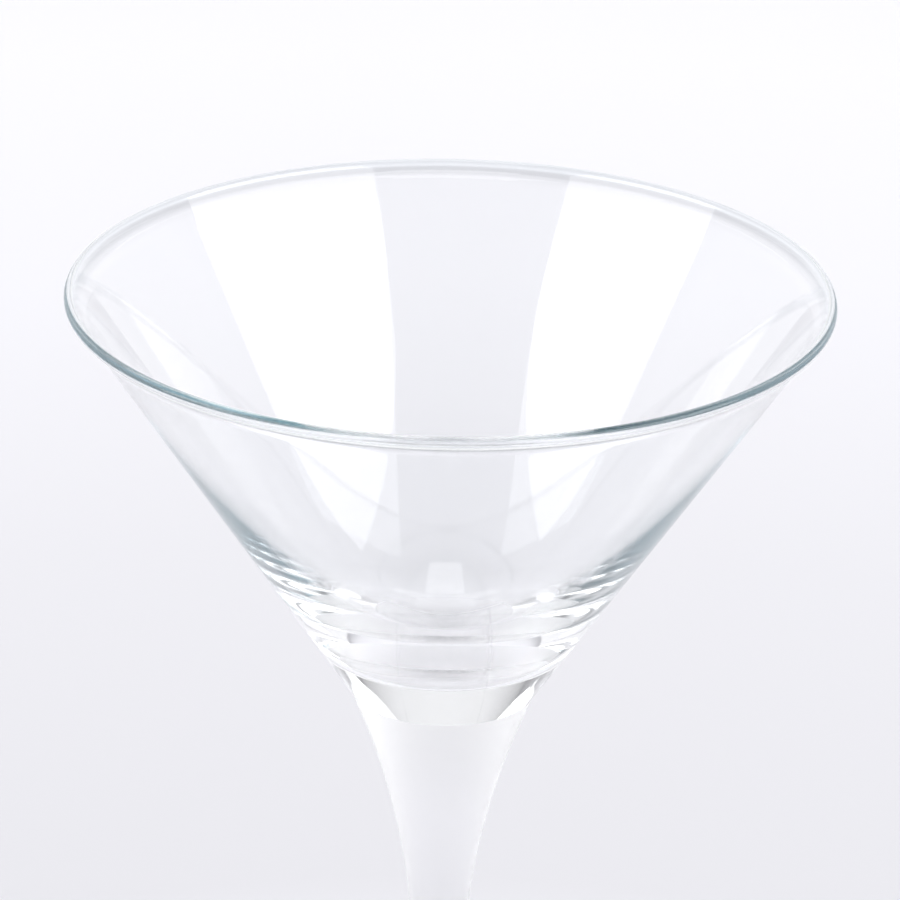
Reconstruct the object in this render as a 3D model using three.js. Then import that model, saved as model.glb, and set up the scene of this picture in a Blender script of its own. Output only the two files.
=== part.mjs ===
// Cocktail glass with a conical bowl on a tall flared stem and a round foot.
// Three pieces of soda-lime glass, each turned about the Z axis and fused end to end.
// Millimetres, +Z up, origin at the centre of the circle that the foot stands on.
import * as THREE from 'three';

// ---------- driving sizes ----------
const OVERALL_HEIGHT = 172;
const RIM_RADIUS = 58;

const BOWL_DEPTH = 65.4; // from the top of the rim down to the joint with the stem
const BOWL_JOINT_RADIUS = 14.2;
const RIM_WALL = 0.8; // square to the wall, just under the bead
const BASE_WALL = 5; // square to the wall, where the cavity floor begins
const WALL_POWER = 5; // how late the wall thickens on its way down: 1 is evenly, more is later
const BEAD_RADIUS = 0.85; // fire-polished edge
const BEAD_BLEND = 2.5; // length of wall over which the bead swells out
const FLOOR_EDGE_HEIGHT = 13; // edge of the cavity floor above the joint
const SHAM_THICKNESS = 8; // solid glass between the cavity's lowest point and the joint
const FLOOR_FILLET = 15;

const WAIST_RADIUS = 3.9; // thinnest part of the stem
const UPPER_FLARE_HEIGHT = 50;
const LOWER_FLARE_HEIGHT = 20;
const FOOT_JOINT_RADIUS = 7.5;
const FOOT_JOINT_HEIGHT = 10;

const FOOT_RADIUS = 39;
const FOOT_EDGE_RADIUS = 1.2; // half the thickness of the foot's round edge
const FOOT_SLOPE = THREE.MathUtils.degToRad(4.5); // fall of the foot's upper face towards its edge
const REST_RING_WIDTH = 7; // flat ring that the glass stands on
const KICK_HEIGHT = 1.3; // hollow under the middle of the foot

// ---------- fineness of the faceted solids ----------
const TURN_STEPS = 64;
const BEAD_STEPS = 3; // on each of the bead's three stretches
const WALL_STEPS = 10; // down the cavity's curved wall
const FILLET_STEPS = 6;
const FLOOR_STEPS = 6;
const UPPER_FLARE_STEPS = 12;
const LOWER_FLARE_STEPS = 6;
const FOOT_EDGE_STEPS = 3; // on each half of the foot's round edge
const FOOT_SWEEP_STEPS = 6;
const KICK_STEPS = 5;
const SEARCH_STEP = 0.001; // of the wall, when looking for where the floor's rounded edge touches it
const HALVINGS = 40; // of one such step

// ---------- outline helpers: a point is (distance from the axis, height) ----------
const at = (radius, height) => new THREE.Vector2(radius, height);
const heading = (angle) => at(Math.cos(angle), Math.sin(angle));
const onCircle = (centre, radius, angle) => heading(angle).multiplyScalar(radius).add(centre);
const angleFrom = (centre, point) => Math.atan2(point.y - centre.y, point.x - centre.x);

/** Points along a circular arc, both ends included. Angles are in radians, 0 pointing away from the axis. */
function arc(centre, radius, from, to, steps) {
  const turn = (to - from) / steps;
  return Array.from({ length: steps + 1 }, (_, i) => onCircle(centre, radius, from + turn * i));
}

/** Arc that has a point at every angle in the list and `steps` steps between each two of them. */
function arcThrough(centre, radius, angles, steps) {
  const stretches = angles.slice(1).map((to, i) => arc(centre, radius, angles[i], to, steps).slice(1));
  return [onCircle(centre, radius, angles[0]), ...stretches.flat()];
}

/** Angle on a circle where a line from a point outside and below it touches its outer side. */
function touchAngle(point, centre, radius) {
  return angleFrom(centre, point) + Math.acos(radius / point.distanceTo(centre));
}

/** Radius of the arc that starts upright and moves sideways by `shift` over `height`. */
function flareRadius(shift, height) {
  return (height * height + shift * shift) / (2 * shift);
}

/** Arc that starts at `start`, turns the corner and ends on the line from `corner` to `end`. */
function roundedCorner(start, corner, end, steps) {
  const back = start.clone().sub(corner);
  const reach = back.length();
  const ahead = end.clone().sub(corner).setLength(reach);
  const halfAngle = Math.acos(back.dot(ahead) / (reach * reach)) / 2;
  const centre = back.clone().add(ahead).setLength(reach / Math.cos(halfAngle)).add(corner);
  const from = angleFrom(centre, start);
  const swing = angleFrom(centre, ahead.add(corner)) - from;
  const turn = swing - 2 * Math.PI * Math.round(swing / (2 * Math.PI));
  return arc(centre, reach * Math.tan(halfAngle), from, from + turn, steps);
}

// ---------- places that two pieces share ----------
const BOWL_JOINT_HEIGHT = OVERALL_HEIGHT - BOWL_DEPTH;
const LOWER_FLARE_RADIUS = flareRadius(FOOT_JOINT_RADIUS - WAIST_RADIUS, LOWER_FLARE_HEIGHT);
const bowlJoint = at(BOWL_JOINT_RADIUS, BOWL_JOINT_HEIGHT);
const footJoint = at(FOOT_JOINT_RADIUS, FOOT_JOINT_HEIGHT);

/** Centre of the bead, and the directions along the cone and straight out of it. */
function coneFrame() {
  const bead = at(RIM_RADIUS - BEAD_RADIUS, OVERALL_HEIGHT - BEAD_RADIUS);
  const overhang = BEAD_RADIUS - RIM_WALL;
  const steepness = angleFrom(bowlJoint, bead) + Math.asin(overhang / bowlJoint.distanceTo(bead));
  const along = heading(steepness);
  const outward = at(along.y, -along.x);
  return { bead, overhang, along, outward };
}

/**
 * Inner face of the wall, as a function of the share of the way down from the bead to the edge of
 * the cavity's floor. The wall's thickness grows as that share to the power WALL_POWER.
 */
function cavityWall({ bead, along, outward }) {
  const edgeRun = (FLOOR_EDGE_HEIGHT + BASE_WALL * outward.y) / along.y;
  const run = bead.clone().sub(bowlJoint).dot(along) - edgeRun;
  const growth = BASE_WALL - RIM_WALL;
  return (share) => {
    const wall = RIM_WALL + growth * share ** WALL_POWER;
    const lean = (WALL_POWER * growth * share ** (WALL_POWER - 1)) / run;
    const point = bowlJoint.clone().addScaledVector(along, edgeRun + run * (1 - share));
    const up = along.clone().addScaledVector(outward, lean).normalize();
    return { point: point.addScaledVector(outward, -wall), inward: at(-up.y, up.x) };
  };
}

/**
 * Lowest share of the wall, to a fine tolerance, at which a condition holds. The search walks up
 * from the floor's edge, and gives 0 if the condition holds nowhere.
 */
function lowestShare(holds) {
  let above = 1;
  while (above > 0 && !holds(above)) above -= SEARCH_STEP;
  if (above <= 0) return 0;
  let below = above + SEARCH_STEP;
  for (let i = 0; i < HALVINGS; i += 1) {
    const middle = (above + below) / 2;
    if (holds(middle)) above = middle;
    else below = middle;
  }
  return above;
}

/**
 * Curved wall, rounded edge and dish of the cavity, from under the bead to the axis. A wall that
 * already leans as much as the dish runs straight into it, with no rounded edge between them.
 */
function cavity(wallAt) {
  const lowest = BOWL_JOINT_HEIGHT + SHAM_THICKNESS;
  const edge = wallAt(1).point;
  const dishRadius = flareRadius(edge.y - lowest, edge.x);
  const dishCentre = at(0, lowest + dishRadius);
  const filletCentreAt = (share) => {
    const { point, inward } = wallAt(share);
    return point.addScaledVector(inward, FLOOR_FILLET);
  };
  const clearance = dishRadius - FLOOR_FILLET;
  const touch = lowestShare((share) => filletCentreAt(share).distanceTo(dishCentre) < clearance);
  const wallEnd = touch || 1;
  const filletCentre = filletCentreAt(wallEnd);
  const wallAngle = angleFrom(filletCentre, wallAt(wallEnd).point);
  const floorAngle = angleFrom(dishCentre, touch ? filletCentre : edge);
  const wall = Array.from({ length: WALL_STEPS }, (_, i) => wallAt((wallEnd * i) / WALL_STEPS).point);
  const fillet = touch ? arc(filletCentre, FLOOR_FILLET, wallAngle, floorAngle, FILLET_STEPS) : [edge];
  const dish = arc(dishCentre, dishRadius, floorAngle, -Math.PI / 2, FLOOR_STEPS);
  dish[FLOOR_STEPS].x = 0;
  return [...wall, ...fillet, ...dish.slice(1)];
}

/** Cone with a beaded rim, a round-bottomed cavity and a flat joint face underneath. */
function bowlOutline() {
  const cone = coneFrame();
  const wallFoot = cone.bead.clone().addScaledVector(cone.outward, -cone.overhang);
  wallFoot.addScaledVector(cone.along, -BEAD_BLEND);
  const outer = touchAngle(wallFoot, cone.bead, BEAD_RADIUS);
  const inner = angleFrom(cone.outward, at(0, 0));
  const bead = arcThrough(cone.bead, BEAD_RADIUS, [outer, 0, Math.PI / 2, inner], BEAD_STEPS);
  const inside = cavity(cavityWall(cone));
  return [at(0, BOWL_JOINT_HEIGHT), bowlJoint, wallFoot, ...bead, ...inside.slice(1)];
}

/** Solid stem: a long flare under the bowl, an upright waist and a short flare above the foot. */
function stemOutline() {
  const upperRadius = flareRadius(BOWL_JOINT_RADIUS - WAIST_RADIUS, UPPER_FLARE_HEIGHT);
  const lowerCentre = at(WAIST_RADIUS + LOWER_FLARE_RADIUS, FOOT_JOINT_HEIGHT + LOWER_FLARE_HEIGHT);
  const upperCentre = at(WAIST_RADIUS + upperRadius, BOWL_JOINT_HEIGHT - UPPER_FLARE_HEIGHT);
  const lowerTurn = Math.asin(LOWER_FLARE_HEIGHT / LOWER_FLARE_RADIUS);
  const upperTurn = Math.asin(UPPER_FLARE_HEIGHT / upperRadius);
  const lower = arc(lowerCentre, LOWER_FLARE_RADIUS, Math.PI + lowerTurn, Math.PI, LOWER_FLARE_STEPS);
  const upper = arc(upperCentre, upperRadius, Math.PI, Math.PI - upperTurn, UPPER_FLARE_STEPS);
  lower[0].copy(footJoint);
  upper[UPPER_FLARE_STEPS].copy(bowlJoint);
  return [at(0, FOOT_JOINT_HEIGHT), ...lower, ...upper, at(0, BOWL_JOINT_HEIGHT)];
}

/** Upper face of the foot, from its round edge up the sweep to the joint with the stem. */
function footTop(edgeCentre) {
  const lineStart = onCircle(edgeCentre, FOOT_EDGE_RADIUS, Math.PI / 2 - FOOT_SLOPE);
  const stemLean = Math.asin(LOWER_FLARE_HEIGHT / LOWER_FLARE_RADIUS);
  const lineSlope = Math.tan(FOOT_SLOPE);
  const stemSlope = Math.tan(stemLean);
  const fall = footJoint.y - lineStart.y - lineSlope * (lineStart.x - footJoint.x);
  const drop = fall / (1 - lineSlope * stemSlope);
  const corner = footJoint.clone().add(at(drop * stemSlope, -drop));
  return roundedCorner(footJoint, corner, lineStart, FOOT_SWEEP_STEPS).reverse();
}

/** Disc with a flat ring to stand on, a hollow inside the ring and a swept-up middle. */
function footOutline() {
  const edgeCentre = at(FOOT_RADIUS - FOOT_EDGE_RADIUS, FOOT_EDGE_RADIUS);
  const hollowRadius = edgeCentre.x - REST_RING_WIDTH;
  const domeRadius = flareRadius(KICK_HEIGHT, hollowRadius);
  const domeCentre = at(0, KICK_HEIGHT - domeRadius);
  const domeEdge = angleFrom(domeCentre, at(hollowRadius, 0));
  const kick = arc(domeCentre, domeRadius, Math.PI / 2, domeEdge, KICK_STEPS);
  kick[0].x = 0;
  const edgeAngles = [-Math.PI / 2, 0, Math.PI / 2 - FOOT_SLOPE];
  const edge = arcThrough(edgeCentre, FOOT_EDGE_RADIUS, edgeAngles, FOOT_EDGE_STEPS);
  return [...kick, ...edge, ...footTop(edgeCentre), at(0, FOOT_JOINT_HEIGHT)];
}

// ---------- materials ----------
const clearGlass = () => new THREE.MeshStandardMaterial({ color: 0xe8f1f3, roughness: 0.02, metalness: 0 });
const satinGlass = () => new THREE.MeshStandardMaterial({ color: 0xe7e8ed, roughness: 0.55, metalness: 0 });

/** One closed solid turned about Z from an outline that starts and ends on the axis. */
function turned(name, outline, material) {
  const geometry = new THREE.LatheGeometry(outline, TURN_STEPS);
  geometry.rotateX(Math.PI / 2);
  const mesh = new THREE.Mesh(geometry, material);
  mesh.name = name;
  return mesh;
}

const glass = new THREE.Group();
glass.add(turned('bowl', bowlOutline(), clearGlass()));
glass.add(turned('stem', stemOutline(), satinGlass()));
glass.add(turned('foot', footOutline(), clearGlass()));

export default glass;
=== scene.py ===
"""A stemmed cocktail glass on a pale studio sweep.

The glass is three pieces of soda-lime glass fused end to end: a clear conical bowl with a
fire-polished rim, a solid flared stem with a satin finish and a clear round foot. Each piece
is an outline turned about the Z axis, worked out with numpy, in metres.
"""

import logging
import math
from dataclasses import dataclass, field
from enum import Enum

import bpy
import numpy as np
from mathutils import Matrix, Vector


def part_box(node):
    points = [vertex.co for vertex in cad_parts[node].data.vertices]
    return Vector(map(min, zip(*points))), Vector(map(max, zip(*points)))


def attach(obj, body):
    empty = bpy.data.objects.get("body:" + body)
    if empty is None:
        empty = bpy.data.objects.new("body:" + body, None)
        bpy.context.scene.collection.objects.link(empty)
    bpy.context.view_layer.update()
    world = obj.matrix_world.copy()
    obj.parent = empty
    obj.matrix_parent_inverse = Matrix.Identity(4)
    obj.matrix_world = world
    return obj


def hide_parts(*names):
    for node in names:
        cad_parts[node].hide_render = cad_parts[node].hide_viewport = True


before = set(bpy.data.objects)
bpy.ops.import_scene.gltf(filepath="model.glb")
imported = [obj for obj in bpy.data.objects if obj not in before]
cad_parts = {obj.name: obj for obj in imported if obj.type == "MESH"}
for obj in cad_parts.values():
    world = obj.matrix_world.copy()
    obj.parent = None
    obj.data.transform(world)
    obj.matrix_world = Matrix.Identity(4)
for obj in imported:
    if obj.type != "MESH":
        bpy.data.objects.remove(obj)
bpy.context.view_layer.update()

LOG = logging.getLogger("cocktail_glass")

MM = 0.001
SAME_POINT = 1e-7
SAME_HEIGHT = 1e-6
LEVEL_CHANGE = 1e-9

BOWL_JOINT_RADIUS = 14.2 * MM
FOOT_JOINT_RADIUS = 7.5 * MM
STEM_WAIST_RADIUS = 3.9 * MM
LOWER_FLARE_HEIGHT = 20.0 * MM

Colour = tuple[float, float, float]
Tones = tuple[tuple[float, float], ...]


class Slot(Enum):
    """The record's material slots."""

    CLEAR = "clear_glass"
    SATIN = "satin_glass"


# ---------------------------------------------------------------- outlines

def at(radius: float, height: float) -> np.ndarray:
    """One outline point: distance from the axis and height."""
    return np.array([radius, height], dtype=float)


def angle_from(centre: np.ndarray, point: np.ndarray) -> float:
    """Direction from a centre to a point, in radians, 0 pointing away from the axis."""
    return math.atan2(point[1] - centre[1], point[0] - centre[0])


def arc(centre: np.ndarray, radius: float, start: float, end: float, steps: int) -> np.ndarray:
    """Points along a circular arc: centre plus radius times (cos a, sin a).

    Args:
        centre: middle of the circle.
        radius: radius of the circle.
        start: first angle in radians.
        end: last angle in radians.
        steps: number of equal steps between them.

    Returns:
        steps + 1 rows of (radius, height).
    """
    turn = np.linspace(start, end, steps + 1)
    return centre + radius * np.stack([np.cos(turn), np.sin(turn)], axis=1)


def straight(start: np.ndarray, end: np.ndarray, steps: int) -> np.ndarray:
    """Points along a straight line: start + t (end - start) for t from 0 to 1.

    Args:
        start: first point.
        end: last point.
        steps: number of equal steps.

    Returns:
        steps + 1 rows of (radius, height).
    """
    share = np.linspace(0.0, 1.0, steps + 1)[:, None]
    return start + share * (end - start)


def touch_angle(point: np.ndarray, centre: np.ndarray, radius: float, side: int) -> float:
    """Angle on a circle where the line from an outside point touches it.

    Args:
        point: the outside point.
        centre: middle of the circle.
        radius: radius of the circle.
        side: 1 or -1, for the two lines that touch.

    Returns:
        The angle of the touching point, in radians.
    """
    reach = float(np.linalg.norm(point - centre))
    return angle_from(centre, point) + side * math.acos(radius / reach)


def flare_radius(shift: float, height: float) -> float:
    """Radius of the arc that starts upright and moves sideways by shift over height."""
    return (height * height + shift * shift) / (2.0 * shift)


def rounded_corner(start: np.ndarray, corner: np.ndarray, end: np.ndarray, steps: int) -> np.ndarray:
    """Arc that starts at start, turns the corner and ends on the line from corner to end.

    Args:
        start: where the arc begins.
        corner: where the two straight lines would meet.
        end: a point on the second line.
        steps: number of equal steps.

    Returns:
        steps + 1 rows of (radius, height).
    """
    back = start - corner
    reach = float(np.linalg.norm(back))
    ahead = (end - corner) * reach / float(np.linalg.norm(end - corner))
    half_angle = math.acos(float(back @ ahead) / reach**2) / 2.0
    middle = (back + ahead) / float(np.linalg.norm(back + ahead))
    centre = corner + middle * reach / math.cos(half_angle)
    first = angle_from(centre, start)
    swing = angle_from(centre, corner + ahead) - first
    swing -= 2.0 * math.pi * round(swing / (2.0 * math.pi))
    return arc(centre, reach * math.tan(half_angle), first, first + swing, steps)


def joined(*stretches: np.ndarray) -> np.ndarray:
    """One outline from several stretches, with the points they share kept once.

    Args:
        *stretches: rows of (radius, height), in order.

    Returns:
        The rows of the whole outline.
    """
    rows = np.vstack(stretches)
    step = np.linalg.norm(np.diff(rows, axis=0), axis=1)
    return rows[np.concatenate([[True], step > SAME_POINT])]


# ---------------------------------------------------------------- turned meshes

@dataclass(frozen=True)
class Ripple:
    """Slow unevenness of blown or pressed glass, as a sum of waves around and along a wall."""

    depth: float = 0.006 * MM
    lobes: tuple[int, ...] = (2, 3, 4)
    phase: float = 0.7
    twist: float = 40.0 * MM

    def offset(self, turn: np.ndarray, run: np.ndarray) -> np.ndarray:
        """Displacement along the surface normal, never outwards.

        Sum over the lobes m of (cos(m turn + phase_m + m run / twist) - 1) / sqrt(m), times depth.

        Args:
            turn: angles around the axis, in radians, shape (1, n).
            run: distance along the outline, in metres, shape (m, 1).

        Returns:
            Displacements in metres, shape (m, n).
        """
        total = np.zeros((run.shape[0], turn.shape[1]))
        for index, lobe in enumerate(self.lobes):
            shift = self.phase * (index + 1) ** 2
            wave = np.cos(lobe * turn + shift + lobe * run / self.twist)
            total += (wave - 1.0) / math.sqrt(lobe)
        return self.depth * total


@dataclass
class TurnedPiece:
    """A closed surface turned about Z from an outline that starts and ends on the axis."""

    name: str
    outline: np.ndarray
    joint_heights: tuple[float, ...] = ()
    ripple: Ripple | None = None
    around: int = 256
    sharp: float = math.radians(32.0)
    calm_radius: float = 6.0 * MM
    calm_height: float = 8.0 * MM

    def fade(self) -> np.ndarray:
        """Share of the ripple at each outline point: none on the axis or at a fused joint.

        A linear share t of the calm radius, and of the calm height, made smooth as t t (3 - 2 t).

        Returns:
            One share for each point of the outline between its two ends.
        """
        radius, height = self.outline[1:-1].T
        share = np.clip(radius / self.calm_radius, 0.0, 1.0)
        for joint in self.joint_heights:
            share = share * np.clip(np.abs(height - joint) / self.calm_height, 0.0, 1.0)
        return share * share * (3.0 - 2.0 * share)

    def vertices(self) -> np.ndarray:
        """Grid of points (r cos a, r sin a, z), moved along the outline's normal by the ripple.

        Returns:
            Rows of x, y, z: all rings in order, then the two points on the axis.
        """
        inner = self.outline[1:-1]
        slope = np.gradient(self.outline, axis=0)[1:-1]
        slope = slope / np.linalg.norm(slope, axis=1, keepdims=True)
        turn = np.linspace(0.0, 2.0 * math.pi, self.around, endpoint=False)[None, :]
        steps = np.linalg.norm(np.diff(self.outline, axis=0), axis=1)
        run = np.cumsum(steps)[:-1, None]
        push = np.zeros((inner.shape[0], self.around))
        if self.ripple is not None:
            push = self.ripple.offset(turn, run) * self.fade()[:, None]
        radius = inner[:, :1] + push * slope[:, 1:]
        height = inner[:, 1:] - push * slope[:, :1]
        grid = np.stack([radius * np.cos(turn), radius * np.sin(turn), height], axis=2).reshape(-1, 3)
        poles = np.array([[0.0, 0.0, self.outline[0, 1]], [0.0, 0.0, self.outline[-1, 1]]])
        return np.vstack([grid, poles])

    def faces(self) -> list[list[int]]:
        """Quads between neighbouring rings and a fan of triangles round each pole.

        Returns:
            Vertex numbers of each face, wound so that the face points out of the glass.
        """
        rings = self.outline.shape[0] - 2
        here = np.arange(self.around)
        after = (here + 1) % self.around
        row = (np.arange(rings - 1) * self.around)[:, None]
        above = row + self.around
        quads = np.stack([row + here, row + after, above + after, above + here], axis=2)
        first_pole = rings * self.around
        top = (rings - 1) * self.around
        start_fan = np.stack([np.full(self.around, first_pole), after, here], axis=1)
        end_fan = np.stack([np.full(self.around, first_pole + 1), top + here, top + after], axis=1)
        return [*start_fan.tolist(), *quads.reshape(-1, 4).tolist(), *end_fan.tolist()]

    def slots(self) -> np.ndarray:
        """Material slot of each face.

        Returns:
            1 for a face on a flat joint, 0 for any other, in the order of the faces.
        """
        middle = (self.outline[1:, 1] + self.outline[:-1, 1]) / 2.0
        flat = np.abs(np.diff(self.outline[:, 1])) < LEVEL_CHANGE
        joint = np.zeros(middle.shape, dtype=bool)
        for height in self.joint_heights:
            joint |= flat & (np.abs(middle - height) < SAME_HEIGHT)
        return np.repeat(joint.astype(np.int32), self.around)

    def build(self) -> bpy.types.Object:
        """Mesh object with smooth faces, sharp joint edges and a slot number on every face.

        Returns:
            The new object, linked to the scene.
        """
        mesh = bpy.data.meshes.new(self.name)
        mesh.from_pydata(self.vertices().tolist(), [], self.faces())
        mesh.polygons.foreach_set("material_index", self.slots())
        mesh.shade_smooth()
        mesh.set_sharp_from_angle(angle=self.sharp)
        mesh.update()
        piece = bpy.data.objects.new(self.name, mesh)
        bpy.context.scene.collection.objects.link(piece)
        return piece


# ---------------------------------------------------------------- shader helpers

class Sheet:
    """A material's or a group's node tree, with short calls to add nodes and links."""

    def __init__(self, tree: bpy.types.NodeTree) -> None:
        """Keeps the tree and empties it."""
        self.tree = tree
        tree.nodes.clear()

    def add(self, kind: str, **settings: object) -> bpy.types.Node:
        """New node of a kind, with its properties set."""
        node = self.tree.nodes.new(kind)
        for key, value in settings.items():
            setattr(node, key, value)
        return node

    def link(self, source: bpy.types.NodeSocket, target: bpy.types.NodeSocket) -> None:
        """Joins an output to an input."""
        self.tree.links.new(source, target)

    def math(self, operation: str, first: object, second: object = 0.0) -> bpy.types.NodeSocket:
        """Math node on sockets or numbers.

        Args:
            operation: the Math node's operation.
            first: a socket or a number.
            second: a socket or a number.

        Returns:
            The node's output.
        """
        node = self.add("ShaderNodeMath", operation=operation)
        for index, value in enumerate((first, second)):
            if isinstance(value, bpy.types.NodeSocket):
                self.link(value, node.inputs[index])
            else:
                node.inputs[index].default_value = value
        return node.outputs[0]

    def spread(
        self,
        value: bpy.types.NodeSocket,
        source: tuple[float, float],
        target: tuple[float, float],
        smooth: bool = True,
    ) -> bpy.types.NodeSocket:
        """Carries a value from one range to another and holds it at the ends.

        Args:
            value: the socket to read.
            source: the two ends of the range that it is read over.
            target: what they become.
            smooth: whether the way between them is a smoothstep, or else a straight line.

        Returns:
            The node's output.
        """
        node = self.add("ShaderNodeMapRange", interpolation_type="SMOOTHSTEP" if smooth else "LINEAR")
        ends = ("From Min", "From Max", "To Min", "To Max")
        for label, end in zip(ends, (*source, *target)):
            node.inputs[label].default_value = end
        self.link(value, node.inputs["Value"])
        return node.outputs[0]

    def blend(self, share: bpy.types.NodeSocket, first: object, second: object) -> bpy.types.NodeSocket:
        """Mix of two colours.

        Args:
            share: how much of the second colour there is.
            first: a socket or a colour.
            second: a socket or a colour.

        Returns:
            The mixed colour.
        """
        node = self.add("ShaderNodeMix", data_type="RGBA")
        self.link(share, node.inputs["Factor"])
        for label, colour in (("A", first), ("B", second)):
            if isinstance(colour, bpy.types.NodeSocket):
                self.link(colour, node.inputs[label])
            else:
                node.inputs[label].default_value = (*colour, 1.0)
        return node.outputs["Result"]

    def ramp(
        self,
        value: bpy.types.NodeSocket,
        stops: Tones,
        tint: Colour,
    ) -> bpy.types.NodeSocket:
        """Colour ramp of greys under one tint.

        Args:
            value: the socket that picks the place on the ramp.
            stops: places from 0 to 1 with their grey.
            tint: what each grey is multiplied by.

        Returns:
            The ramp's colour.
        """
        node = self.add("ShaderNodeValToRGB")
        elements = node.color_ramp.elements
        while len(elements) < len(stops):
            elements.new(1.0)
        for element, (place, grey) in zip(elements, stops):
            element.position = place
            element.color = (*(grey * share for share in tint), 1.0)
        self.link(value, node.inputs[0])
        return node.outputs["Color"]


def new_group(
    name: str,
    inputs: dict[str, tuple[str, object]],
    outputs: dict[str, str],
) -> tuple[Sheet, bpy.types.Node, bpy.types.Node]:
    """Empty shader group with named sockets.

    Args:
        name: the group's name.
        inputs: socket name to (socket kind, usual value).
        outputs: socket name to socket kind.

    Returns:
        The group's sheet, its input node and its output node.
    """
    tree = bpy.data.node_groups.new(name, "ShaderNodeTree")
    sheet = Sheet(tree)
    for label, (kind, value) in inputs.items():
        socket = tree.interface.new_socket(label, in_out="INPUT", socket_type=kind)
        socket.default_value = value
    for label, kind in outputs.items():
        tree.interface.new_socket(label, in_out="OUTPUT", socket_type=kind)
    return sheet, sheet.add("NodeGroupInput"), sheet.add("NodeGroupOutput")


def length_of(
    sheet: Sheet,
    first: bpy.types.NodeSocket,
    second: bpy.types.NodeSocket,
) -> bpy.types.NodeSocket:
    """Length of a flat vector, as the square root of the sum of two squares.

    Args:
        sheet: where the nodes go.
        first: one side.
        second: the other side.

    Returns:
        The length.
    """
    squares = sheet.math("ADD", sheet.math("POWER", first, 2.0), sheet.math("POWER", second, 2.0))
    return sheet.math("SQRT", squares)


def edge_tint_group() -> bpy.types.NodeTree:
    """Colour that deepens where the glass is seen through its edge, at a given radius and height.

    The mask is 1 - smoothstep(distance / reach), with the distance taken in the outline's plane
    from the ring at (ring radius, ring height).

    Returns:
        The group, with the colour and the mask as its outputs.
    """
    floats = "NodeSocketFloat"
    colour = "NodeSocketColor"
    sheet, ins, outs = new_group(
        "edge_tint",
        {
            "Clear": (colour, (1.0, 1.0, 1.0, 1.0)),
            "Edge": (colour, (0.8, 0.9, 0.92, 1.0)),
            "Ring Radius": (floats, 0.05),
            "Ring Height": (floats, 0.1),
            "Reach": (floats, 0.002),
        },
        {"Color": colour, "Mask": floats},
    )
    place = sheet.add("ShaderNodeSeparateXYZ")
    sheet.link(sheet.add("ShaderNodeTexCoord").outputs["Object"], place.inputs[0])
    across = length_of(sheet, place.outputs[0], place.outputs[1])
    out = sheet.math("SUBTRACT", across, ins.outputs["Ring Radius"])
    up = sheet.math("SUBTRACT", place.outputs[2], ins.outputs["Ring Height"])
    share = sheet.math("DIVIDE", length_of(sheet, out, up), ins.outputs["Reach"])
    mask = sheet.spread(share, (0.0, 1.0), (1.0, 0.0))
    colours = sheet.blend(mask, ins.outputs["Clear"], ins.outputs["Edge"])
    sheet.link(colours, outs.inputs["Color"])
    sheet.link(mask, outs.inputs["Mask"])
    return sheet.tree


# ---------------------------------------------------------------- finishes

@dataclass(frozen=True)
class ClearGlass:
    """Clear soda-lime glass, fire polished, faintly blue-green along its edges.

    Light that has been turned round inside the glass many times comes out in the trapped colour.
    Near the ring, light after its first turns is painted near-black in uneven streaks: painted dark
    reflections, not a colour of the glass.
    """

    name: str
    ring: tuple[float, float]
    clear: Colour = (0.985, 0.992, 0.995)
    edge: Colour = (0.93, 0.97, 0.98)
    reach: float = 3.2 * MM
    trapped: Colour = (0.08, 0.16, 0.2)
    trapped_turns: tuple[float, float] = (3.0, 24.0)
    # Near-black used for the painted dark reflections near the ring, not the bead's own colour.
    bead: Colour = (0.0, 0.02, 0.03)
    painted_streak_turns: tuple[float, float] = (1.0, 2.2)
    streak_scale: float = 45.0
    streak_noise: tuple[float, float] = (0.4, 0.55)
    streak_strength: tuple[float, float] = (0.25, 1.0)
    roughness: float = 0.03
    index: float = 1.52
    passed: float = 0.93

    def make(self, tint: bpy.types.NodeTree) -> bpy.types.Material:
        """Builds the material.

        Args:
            tint: the edge tint group.

        Returns:
            The new material.
        """
        material, sheet, shader = glass_shader(self.name, self.index, self.roughness)
        group = sheet.add("ShaderNodeGroup", node_tree=tint)
        group.inputs["Clear"].default_value = (*self.clear, 1.0)
        group.inputs["Edge"].default_value = (*self.edge, 1.0)
        group.inputs["Ring Radius"].default_value = self.ring[0]
        group.inputs["Ring Height"].default_value = self.ring[1]
        group.inputs["Reach"].default_value = self.reach
        turns = sheet.add("ShaderNodeLightPath").outputs["Ray Depth"]
        long_way = sheet.spread(turns, self.trapped_turns, (0.0, 1.0))
        colour = sheet.blend(long_way, group.outputs["Color"], self.trapped)
        # Painted dark reflection: after the first turns, the colour near the ring goes near-black in
        # uneven streaks.
        painted_streak_onset = sheet.spread(turns, self.painted_streak_turns, (0.0, 1.0))
        painted_streak_amount = sheet.math("MULTIPLY", painted_streak_onset, self.streaks(sheet))
        painted_streak_mask = sheet.math("MULTIPLY", painted_streak_amount, group.outputs["Mask"])
        sheet.link(sheet.blend(painted_streak_mask, colour, self.bead), shader.inputs["Base Color"])
        finish_glass(sheet, shader, self.passed)
        return material

    def streaks(self, sheet: Sheet) -> bpy.types.NodeSocket:
        """Uneven strength of the painted dark reflections near the ring, from a noise fixed to the
        glass.

        Args:
            sheet: the material's nodes.

        Returns:
            The strength.
        """
        noise = sheet.add("ShaderNodeTexNoise")
        noise.inputs["Scale"].default_value = self.streak_scale
        noise.inputs["Detail"].default_value = 1.0
        sheet.link(sheet.add("ShaderNodeTexCoord").outputs["Object"], noise.inputs["Vector"])
        return sheet.spread(noise.outputs[0], self.streak_noise, self.streak_strength, smooth=False)


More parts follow.
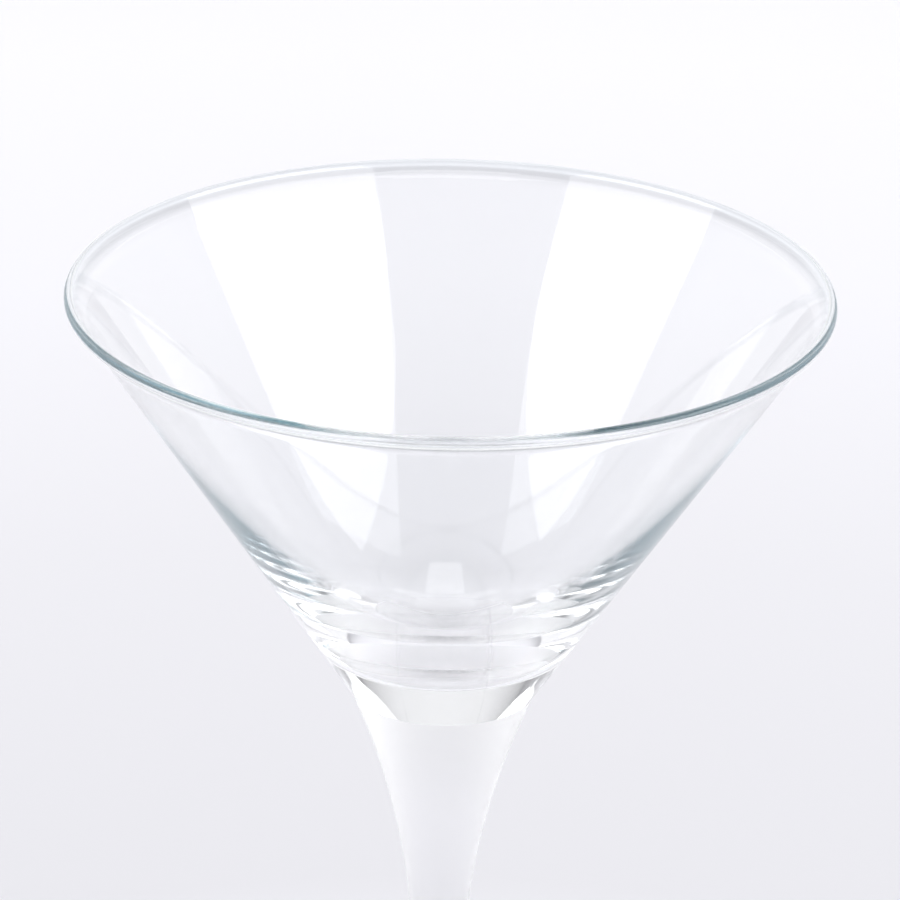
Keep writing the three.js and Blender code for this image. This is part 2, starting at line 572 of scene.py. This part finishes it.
@dataclass(frozen=True)
class SatinGlass:
    """Soda-lime glass with an etched satin skin."""

    name: str
    colour: Colour = (0.91, 0.912, 0.92)
    roughness: float = 0.38
    index: float = 1.52
    passed: float = 0.85

    def make(self) -> bpy.types.Material:
        """Builds the material.

        Returns:
            The new material.
        """
        material, sheet, shader = glass_shader(self.name, self.index, self.roughness)
        shader.inputs["Base Color"].default_value = (*self.colour, 1.0)
        finish_glass(sheet, shader, self.passed)
        return material


def glass_shader(
    name: str,
    index: float,
    roughness: float,
) -> tuple[bpy.types.Material, Sheet, bpy.types.Node]:
    """New material with the shader that every glass here has.

    Args:
        name: the material's name.
        index: index of refraction.
        roughness: how rough the surface is.

    Returns:
        The material, its sheet and the shader, which isn't joined to an output yet.
    """
    material = bpy.data.materials.new(name)
    material.use_nodes = True
    sheet = Sheet(material.node_tree)
    shader = sheet.add("ShaderNodeBsdfPrincipled")
    shader.inputs["Transmission Weight"].default_value = 1.0
    shader.inputs["IOR"].default_value = index
    shader.inputs["Roughness"].default_value = roughness
    return material, sheet, shader


def finish_glass(sheet: Sheet, shader: bpy.types.Node, passed: float) -> None:
    """Lets lamps shine through the glass, and joins the shader to the material's output.

    Args:
        sheet: the material's nodes.
        shader: the glass itself.
        passed: share of a lamp's light that gets through.
    """
    path = sheet.add("ShaderNodeLightPath")
    lit = sheet.add("ShaderNodeBsdfTransparent")
    lit.inputs["Color"].default_value = (passed, passed, passed, 1.0)
    mix = sheet.add("ShaderNodeMixShader")
    sheet.link(path.outputs["Is Shadow Ray"], mix.inputs[0])
    sheet.link(shader.outputs[0], mix.inputs[1])
    sheet.link(lit.outputs[0], mix.inputs[2])
    sheet.link(mix.outputs[0], sheet.add("ShaderNodeOutputMaterial").inputs["Surface"])


def fused_joint() -> bpy.types.Material:
    """Where two pieces have melted together there is no surface left to see.

    Returns:
        A fully transparent material.
    """
    material = bpy.data.materials.new("fused_joint")
    material.use_nodes = True
    sheet = Sheet(material.node_tree)
    clear = sheet.add("ShaderNodeBsdfTransparent")
    sheet.link(clear.outputs[0], sheet.add("ShaderNodeOutputMaterial").inputs["Surface"])
    return material


# ---------------------------------------------------------------- the three pieces

@dataclass
class Bowl:
    """Conical bowl with a beaded rim, a round-cornered cavity floor and a thick base."""

    rim_radius: float
    rim_height: float
    joint_height: float
    joint_radius: float = BOWL_JOINT_RADIUS
    rim_wall: float = 0.8 * MM
    base_wall: float = 5.0 * MM
    wall_power: float = 5.0
    bead_radius: float = 0.85 * MM
    bead_blend: float = 2.5 * MM
    blend_length: float = 1.6 * MM
    floor_edge_height: float = 13.0 * MM
    sham: float = 8.0 * MM
    floor_fillet: float = 15.0 * MM
    search_steps: int = 4000
    joint_steps: int = 6
    cone_steps: int = 48
    blend_steps: int = 10
    bead_steps: int = 40
    wall_steps: int = 96
    fillet_steps: int = 24
    dish_steps: int = 28

    def cone(self) -> tuple[np.ndarray, np.ndarray, np.ndarray, np.ndarray]:
        """Where the cone runs.

        Returns:
            The joint's edge, the bead's centre, the direction up the cone and the one out of it.
        """
        joint = at(self.joint_radius, self.joint_height)
        bead = at(self.rim_radius - self.bead_radius, self.rim_height - self.bead_radius)
        overhang = self.bead_radius - self.rim_wall
        steepness = angle_from(joint, bead) + math.asin(overhang / float(np.linalg.norm(bead - joint)))
        along = at(math.cos(steepness), math.sin(steepness))
        return joint, bead, along, at(along[1], -along[0])

    def wall(self, share: np.ndarray) -> tuple[np.ndarray, np.ndarray]:
        """Inner face of the wall, square to which its thickness is rim + (base - rim) share^power.

        Args:
            share: shares of the way down from the bead to the edge of the cavity's floor.

        Returns:
            The points, and the directions from them straight into the cavity.
        """
        joint, bead, along, outward = self.cone()
        edge_run = (self.floor_edge_height + self.base_wall * outward[1]) / along[1]
        run = float((bead - joint) @ along) - edge_run
        growth = self.base_wall - self.rim_wall
        share = share[:, None]
        thickness = self.rim_wall + growth * share**self.wall_power
        points = joint + along * (edge_run + run * (1.0 - share)) - outward * thickness
        lean = self.wall_power * growth * share ** (self.wall_power - 1.0) / run
        upward = along + outward * lean
        upward = upward / np.linalg.norm(upward, axis=1, keepdims=True)
        return points, np.stack([-upward[:, 1], upward[:, 0]], axis=1)

    def cavity(self) -> np.ndarray:
        """Curved wall, rounded edge and shallow dish of the cavity, from the bead to the axis.

        The rounded edge is an arc whose centre lies one fillet radius from the wall and from the
        dish: along the wall's line moved inwards, it is where the distance to the dish's centre
        reaches the dish's radius less the fillet's.

        Returns:
            Rows of (radius, height).
        """
        share = np.linspace(0.0, 1.0, self.search_steps + 1)
        points, inward = self.wall(share)
        lowest = self.joint_height + self.sham
        dish = flare_radius(points[-1, 1] - lowest, points[-1, 0])
        middle = at(0.0, lowest + dish)
        moved = points + inward * self.floor_fillet
        gap = np.linalg.norm(moved - middle, axis=1) - (dish - self.floor_fillet)
        clear = int(np.nonzero(gap < 0.0)[0][-1])
        last = float(np.interp(0.0, gap[clear:clear + 2], share[clear:clear + 2]))
        touch, square = self.wall(np.array([last]))
        centre = (touch + square * self.floor_fillet)[0]
        floor_angle = angle_from(middle, centre)
        wall_angle = angle_from(centre, touch[0])
        fillet = arc(centre, self.floor_fillet, wall_angle, floor_angle, self.fillet_steps)
        bottom = arc(middle, dish, floor_angle, -math.pi / 2.0, self.dish_steps)
        bottom[-1, 0] = 0.0
        upper = self.wall(np.linspace(0.0, last, self.wall_steps + 1))[0]
        return joined(upper, fillet, bottom)

    def outline(self) -> np.ndarray:
        """Outline from the middle of the joint face, up the outside, over the bead and down inside.

        Returns:
            Rows of (radius, height).
        """
        joint, bead, along, outward = self.cone()
        swell = bead - outward * (self.bead_radius - self.rim_wall) - along * self.bead_blend
        outer = touch_angle(swell, bead, self.bead_radius, 1)
        inner = angle_from(at(0.0, 0.0), -outward)
        touch = bead + self.bead_radius * at(math.cos(outer), math.sin(outer))
        blend = rounded_corner(swell - along * self.blend_length, swell, touch, self.blend_steps)
        return joined(
            straight(at(0.0, self.joint_height), joint, self.joint_steps),
            straight(joint, blend[0], self.cone_steps),
            blend,
            arc(bead, self.bead_radius, outer, inner, self.bead_steps),
            self.cavity(),
        )

    def build(self) -> bpy.types.Object:
        """Makes the bowl's mesh."""
        return TurnedPiece("bowl_glass", self.outline(), (self.joint_height,), Ripple()).build()


@dataclass
class Stem:
    """Solid stem: a long flare under the bowl, an upright waist and a short flare above the foot."""

    top: float
    bottom: float
    top_radius: float = BOWL_JOINT_RADIUS
    bottom_radius: float = FOOT_JOINT_RADIUS
    waist_radius: float = STEM_WAIST_RADIUS
    upper_flare: float = 50.0 * MM
    lower_flare: float = LOWER_FLARE_HEIGHT
    ripple: Ripple = Ripple(0.01 * MM)
    around: int = 192
    bottom_steps: int = 4
    lower_steps: int = 32
    waist_steps: int = 24
    upper_steps: int = 64
    top_steps: int = 6

    def outline(self) -> np.ndarray:
        """Outline from the middle of the lower joint face up to the middle of the upper one.

        Returns:
            Rows of (radius, height).
        """
        upper = flare_radius(self.top_radius - self.waist_radius, self.upper_flare)
        lower = flare_radius(self.bottom_radius - self.waist_radius, self.lower_flare)
        low_centre = at(self.waist_radius + lower, self.bottom + self.lower_flare)
        high_centre = at(self.waist_radius + upper, self.top - self.upper_flare)
        low_turn = math.asin(self.lower_flare / lower)
        high_turn = math.asin(self.upper_flare / upper)
        low = arc(low_centre, lower, math.pi + low_turn, math.pi, self.lower_steps)
        high = arc(high_centre, upper, math.pi, math.pi - high_turn, self.upper_steps)
        return joined(
            straight(at(0.0, self.bottom), low[0], self.bottom_steps),
            low,
            straight(low[-1], high[0], self.waist_steps),
            high,
            straight(high[-1], at(0.0, self.top), self.top_steps),
        )

    def build(self) -> bpy.types.Object:
        """Makes the stem's mesh."""
        joints = (self.bottom, self.top)
        return TurnedPiece("stem_glass", self.outline(), joints, self.ripple, self.around).build()


@dataclass
class Foot:
    """Disc with a flat ring to stand on, a hollow inside the ring and a swept-up middle."""

    radius: float
    joint_height: float
    joint_radius: float = FOOT_JOINT_RADIUS
    waist_radius: float = STEM_WAIST_RADIUS
    stem_flare: float = LOWER_FLARE_HEIGHT
    edge_radius: float = 1.2 * MM
    slope: float = math.radians(4.5)
    ring_width: float = 7.0 * MM
    kick: float = 1.3 * MM
    ripple: Ripple = Ripple(0.01 * MM)
    hollow_steps: int = 24
    ring_steps: int = 8
    edge_steps: int = 28
    slope_steps: int = 28
    sweep_steps: int = 28
    joint_steps: int = 4

    def outline(self) -> np.ndarray:
        """Outline from the top of the hollow, out over the ring, round the edge and up to the joint.

        Returns:
            Rows of (radius, height).
        """
        edge = at(self.radius - self.edge_radius, self.edge_radius)
        hollow = edge[0] - self.ring_width
        dome = flare_radius(self.kick, hollow)
        middle = at(0.0, self.kick - dome)
        brim = angle_from(middle, at(hollow, 0.0))
        under = arc(middle, dome, math.pi / 2.0, brim, self.hollow_steps)
        under[0, 0] = 0.0
        upper = math.pi / 2.0 - self.slope
        round_edge = arc(edge, self.edge_radius, -math.pi / 2.0, upper, self.edge_steps)
        joint = at(self.joint_radius, self.joint_height)
        stem_arc = flare_radius(self.joint_radius - self.waist_radius, self.stem_flare)
        lean = math.tan(math.asin(self.stem_flare / stem_arc))
        grade = math.tan(self.slope)
        start = round_edge[-1]
        fall = joint[1] - start[1] - grade * (start[0] - joint[0])
        drop = fall / (1.0 - grade * lean)
        corner = joint + at(drop * lean, -drop)
        sweep = rounded_corner(joint, corner, start, self.sweep_steps)[::-1]
        return joined(
            under,
            straight(under[-1], round_edge[0], self.ring_steps),
            round_edge,
            straight(start, sweep[0], self.slope_steps),
            sweep,
            straight(joint, at(0.0, self.joint_height), self.joint_steps),
        )

    def build(self) -> bpy.types.Object:
        """Makes the foot's mesh."""
        return TurnedPiece("foot_glass", self.outline(), (self.joint_height,), self.ripple).build()


# ---------------------------------------------------------------- the studio

def towards(azimuth: float, elevation: float) -> Vector:
    """Unit vector at an azimuth from the camera's side, growing to the right, and an elevation.

    Args:
        azimuth: degrees from -Y, growing towards +X.
        elevation: degrees above the floor.

    Returns:
        The direction.
    """
    turn = math.radians(azimuth)
    rise = math.radians(elevation)
    return Vector((math.sin(turn) * math.cos(rise), -math.cos(turn) * math.cos(rise), math.sin(rise)))


@dataclass(frozen=True)
class SoftBox:
    """Rectangular soft light that faces the bowl.

    The azimuth and elevation are in degrees. The half width, the top and the bottom are shares of
    the distance from the bowl, so they are close to angles in radians. A light that isn't
    mirrored is left out of reflections and of what is seen through glass.
    """

    name: str
    azimuth: float
    elevation: float
    half_width: float
    top: float
    bottom: float
    distance: float = 2.0
    radiance: float = 2.4
    mirrored: bool = True

    def hang(self, target: Vector) -> bpy.types.Object:
        """Makes the area light.

        Args:
            target: the point it faces.

        Returns:
            The light's object.
        """
        out = towards(self.azimuth, self.elevation)
        side = Vector((0.0, 0.0, 1.0)).cross(out).normalized()
        rise = out.cross(side)
        lamp = bpy.data.lights.new(self.name, "AREA")
        lamp.shape = "RECTANGLE"
        lamp.size = 2.0 * self.half_width * self.distance
        lamp.size_y = (self.top - self.bottom) * self.distance
        lamp.energy = self.radiance * math.pi * lamp.size * lamp.size_y
        box = bpy.data.objects.new(self.name, lamp)
        box.visible_glossy = self.mirrored
        box.visible_transmission = self.mirrored
        centre = target + out * self.distance + rise * (self.top + self.bottom) / 2.0 * self.distance
        turn = Matrix((side, rise, out)).transposed().to_4x4()
        box.matrix_world = Matrix.Translation(centre) @ turn
        bpy.context.scene.collection.objects.link(box)
        return box


@dataclass
class Studio:
    """Floor, surroundings, soft lights and camera."""

    target: Vector
    lens: float = 263.98
    distance: float = 1.0
    elevation: float = 22.692
    roll: float = 1.116
    drop: float = 25.907 * MM
    aside: float = 0.340 * MM
    wall_tones: Tones = ((0.0, 1.0), (0.42, 0.98), (0.55, 0.7), (0.72, 0.35), (0.87, 0.05))
    wall_tint: Colour = (1.0, 1.0, 1.02)
    paper_reach: float = 0.8
    # Painted light and shade on the floor: greys by distance from the glass, not the paper's own
    # colour.
    painted_light_tones: Tones = (
        (0.0, 0.93),
        (0.08, 0.91),
        (0.15, 0.81),
        (0.3, 0.86),
        (0.45, 0.95),
        (0.6, 1.0),
    )
    paper_tint: Colour = (0.962, 0.958, 1.0)
    paper_rings: tuple[float, ...] = (0.05, 0.2, 0.6, 1.5, 4.0, 12.0)
    paper_around: int = 96
    paper_level: float = -0.1 * MM
    # Strength of the painted glow on the floor under the foot.
    painted_foot_glow: float = 0.36
    foot_reach: tuple[float, float] = (37.0 * MM, 39.5 * MM)
    bounces: int = 192
    boxes: list[SoftBox] = field(default_factory=lambda: [
        SoftBox("soft_box_right", 66.0, 35.0, 0.50, 0.31, -0.42),
        SoftBox("soft_box_left", -70.2, 35.0, 0.41, 0.22, -0.42),
        SoftBox("soft_box_top", 180.0, 72.0, 0.14, 0.3, -0.3, 1.5, 2.2),
        SoftBox("soft_box_back", 180.0, 40.0, 0.35, 0.26, -0.12, 2.5, 1.3),
        SoftBox("soft_box_fill", 180.0, 70.0, 0.5, 0.5, -0.5, 2.0, 0.4, False),
    ])

    def camera(self) -> bpy.types.Object:
        """Camera on a long lens, looking down at the bowl with a slight roll.

        Returns:
            The camera's object.
        """
        data = bpy.data.cameras.new("camera")
        data.lens = self.lens
        data.sensor_width = 36.0
        data.clip_end = 50.0
        aim = self.target + Vector((self.aside, 0.0, -self.drop))
        out = towards(0.0, self.elevation)
        side = Vector((1.0, 0.0, 0.0))
        rise = out.cross(side)
        roll = math.radians(self.roll)
        tilted_side = side * math.cos(roll) + rise * math.sin(roll)
        tilted_rise = rise * math.cos(roll) - side * math.sin(roll)
        camera = bpy.data.objects.new("camera", data)
        turn = Matrix((tilted_side, tilted_rise, out)).transposed().to_4x4()
        camera.matrix_world = Matrix.Translation(aim + out * self.distance) @ turn
        bpy.context.scene.collection.objects.link(camera)
        bpy.context.scene.camera = camera
        return camera

    def floor(self) -> bpy.types.Object:
        """Round pale floor with painted light in its tone, brighter further out.

        Returns:
            The floor's object.
        """
        steps = self.paper_around
        turn = np.linspace(0.0, 2.0 * math.pi, steps, endpoint=False)
        across, around = np.meshgrid(self.paper_rings, turn, indexing="ij")
        level = np.full_like(across, self.paper_level)
        grid = np.stack([across * np.cos(around), across * np.sin(around), level], axis=2)
        points = np.vstack([grid.reshape(-1, 3), [[0.0, 0.0, self.paper_level]]])
        here = np.arange(steps)
        after = (here + 1) % steps
        row = (np.arange(len(self.paper_rings) - 1) * steps)[:, None]
        beyond = row + steps
        quads = np.stack([row + here, beyond + here, beyond + after, row + after], axis=2)
        fan = np.stack([np.full(steps, points.shape[0] - 1), here, after], axis=1)
        mesh = bpy.data.meshes.new("studio_floor")
        mesh.from_pydata(points.tolist(), [], [*quads.reshape(-1, 4).tolist(), *fan.tolist()])
        floor = bpy.data.objects.new("studio_floor", mesh)
        bpy.context.scene.collection.objects.link(floor)
        mesh.materials.append(self.paper())
        return floor

    def paper(self) -> bpy.types.Material:
        """Pale matte paper with painted light and shade in its tone: a little brighter next to the
        glass, darkest about 0.15 m out and brighter further out.

        Under the foot it glows with painted light that stands in for the soft light the glass would
        have gathered there.

        Returns:
            The material.
        """
        material = bpy.data.materials.new("studio_paper")
        material.use_nodes = True
        sheet = Sheet(material.node_tree)
        shader = sheet.add("ShaderNodeBsdfPrincipled")
        shader.inputs["Roughness"].default_value = 1.0
        shader.inputs["Specular IOR Level"].default_value = 0.0
        length = sheet.add("ShaderNodeVectorMath", operation="LENGTH")
        sheet.link(sheet.add("ShaderNodeTexCoord").outputs["Object"], length.inputs[0])
        share = sheet.math("DIVIDE", length.outputs["Value"], self.paper_reach)
        stops = tuple((reach / self.paper_reach, grey) for reach, grey in self.painted_light_tones)
        # Painted light: the floor's grey by distance, also used as the colour of the glow under the
        # foot.
        tone = sheet.ramp(share, stops, self.paper_tint)
        # Painted glow under the foot, standing in for light the glass would have gathered there.
        under = sheet.spread(length.outputs["Value"], self.foot_reach, (self.painted_foot_glow, 0.0))
        sheet.link(tone, shader.inputs["Base Color"])
        sheet.link(tone, shader.inputs["Emission Color"])
        sheet.link(under, shader.inputs["Emission Strength"])
        sheet.link(shader.outputs[0], sheet.add("ShaderNodeOutputMaterial").inputs["Surface"])
        return material

    def surroundings(self) -> None:
        """Bright walls that fade to a dark ceiling."""
        world = bpy.data.worlds.new("studio")
        world.use_nodes = True
        bpy.context.scene.world = world
        sheet = Sheet(world.node_tree)
        place = sheet.add("ShaderNodeSeparateXYZ")
        sheet.link(sheet.add("ShaderNodeTexCoord").outputs["Generated"], place.inputs[0])
        tone = sheet.ramp(place.outputs[2], self.wall_tones, self.wall_tint)
        back = sheet.add("ShaderNodeBackground")
        sheet.link(tone, back.inputs["Color"])
        sheet.link(back.outputs[0], sheet.add("ShaderNodeOutputWorld").inputs["Surface"])

    def build(self) -> None:
        """Makes everything that isn't the glass."""
        self.camera()
        self.floor()
        self.surroundings()
        for box in self.boxes:
            box.hang(self.target)
        scene = bpy.context.scene
        scene.view_settings.view_transform = "Standard"
        scene.cycles.max_bounces = self.bounces
        scene.cycles.transmission_bounces = self.bounces
        scene.cycles.glossy_bounces = self.bounces
        scene.cycles.transparent_max_bounces = self.bounces
        scene.cycles.caustics_reflective = False
        scene.cycles.caustics_refractive = False


# ---------------------------------------------------------------- putting it together

def dress(piece: bpy.types.Object, node: str, slot: Slot, *materials: bpy.types.Material) -> None:
    """Gives a piece its materials and ties it to the frame.

    Args:
        piece: the finished mesh object.
        node: the CAD node it stands for.
        slot: the record's material slot; not used.
        *materials: the finish, then the joint material.
    """
    for material in materials:
        piece.data.materials.append(material)
    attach(piece, "root")
    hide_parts(node)
    LOG.info("%s: %d faces, stands for %s", piece.name, len(piece.data.polygons), node)


def main() -> None:
    """Builds the glass and the studio around it."""
    logging.basicConfig(level=logging.INFO, format="%(name)s: %(message)s")
    bowl_low, bowl_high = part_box("bowl")
    stem_low, stem_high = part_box("stem")
    foot_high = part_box("foot")[1]
    bowl = Bowl(bowl_high.x, bowl_high.z, bowl_low.z)
    stem = Stem(stem_high.z, stem_low.z)
    foot = Foot(foot_high.x, foot_high.z)
    tint = edge_tint_group()
    joint = fused_joint()
    bowl_finish = ClearGlass("clear_bowl", (bowl.rim_radius, bowl.rim_height)).make(tint)
    foot_finish = ClearGlass("clear_foot", (foot.radius, foot.edge_radius)).make(tint)
    stem_finish = SatinGlass("satin_stem").make()
    dress(bowl.build(), "bowl", Slot.CLEAR, bowl_finish, joint)
    dress(stem.build(), "stem", Slot.SATIN, stem_finish, joint)
    dress(foot.build(), "foot", Slot.CLEAR, foot_finish, joint)
    Studio(Vector((0.0, 0.0, bowl.rim_height))).build()
    LOG.info("studio ready")


if __name__ == "__main__":
    main()
